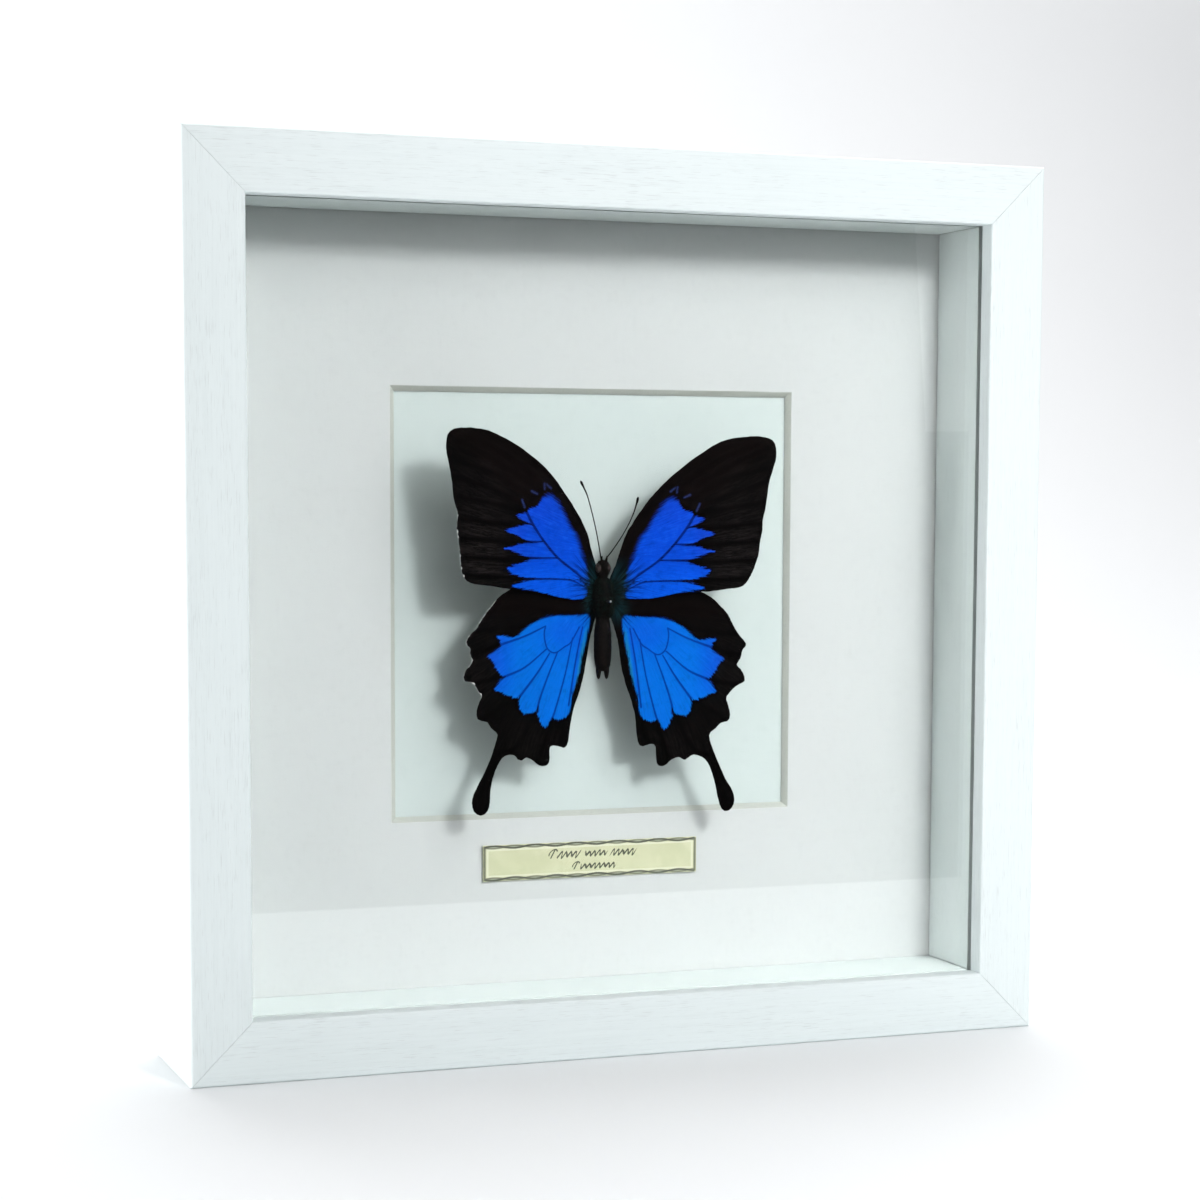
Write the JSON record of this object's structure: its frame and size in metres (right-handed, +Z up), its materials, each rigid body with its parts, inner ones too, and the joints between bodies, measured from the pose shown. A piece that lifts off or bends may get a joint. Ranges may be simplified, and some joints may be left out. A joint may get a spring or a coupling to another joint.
{
  "type": "framed butterfly specimen",
  "caption": "Blue and black swallowtail butterfly pinned behind glass in a square white wooden box frame with a window mat and a cream name card.",
  "frame": {"origin": "centre of the frame's footprint, on the underside of the bottom rail", "axes": "+X to the viewer's right, +Z up, -Y out of the glass towards the viewer, +Y towards the wall"},
  "size_m": [0.25, 0.045, 0.25],
  "materials": {
    "frame_paint": "satin white paint over open-grained wood",
    "pane": "clear polished sheet",
    "liner_paper": "smooth white paper-covered strip",
    "mat_card": "matt white mat board with a cut bevel",
    "board_paper": "matt white paper-faced foam board",
    "label_card": "cream card with a printed double border",
    "hardboard": "pressed brown hardboard",
    "tab_steel": "plain springy sheet steel",
    "hanger_metal": "stamped plated steel",
    "body_scales": "matt black scales and hair",
    "wing_scales": "velvety black with metallic blue scales",
    "pin_steel": "thin bright steel"
  },
  "bodies": {
    "root": {"antenna_left": "body_scales", "antenna_right": "body_scales", "backing_panel": "hardboard", "butterfly_body": "body_scales", "forewing_left": "wing_scales", "forewing_right": "wing_scales", "frame_rail_bottom": "frame_paint", "frame_rail_left": "frame_paint", "frame_rail_right": "frame_paint", "frame_rail_top": "frame_paint", "glass_pane": "pane", "hanger_nail_left": "hanger_metal", "hanger_nail_right": "hanger_metal", "hanger_plate": "hanger_metal", "hindwing_left": "wing_scales", "hindwing_right": "wing_scales", "insect_pin": "pin_steel", "liner_bottom": "liner_paper", "liner_left": "liner_paper", "liner_right": "liner_paper", "liner_top": "liner_paper", "mount_board": "board_paper", "name_label": "label_card", "retaining_tab_bottom_1": "tab_steel", "retaining_tab_bottom_2": "tab_steel", "retaining_tab_left_1": "tab_steel", "retaining_tab_left_2": "tab_steel", "retaining_tab_right_1": "tab_steel", "retaining_tab_right_2": "tab_steel", "retaining_tab_top_1": "tab_steel", "retaining_tab_top_2": "tab_steel", "window_mat": "mat_card"}
  },
  "joints": []
}
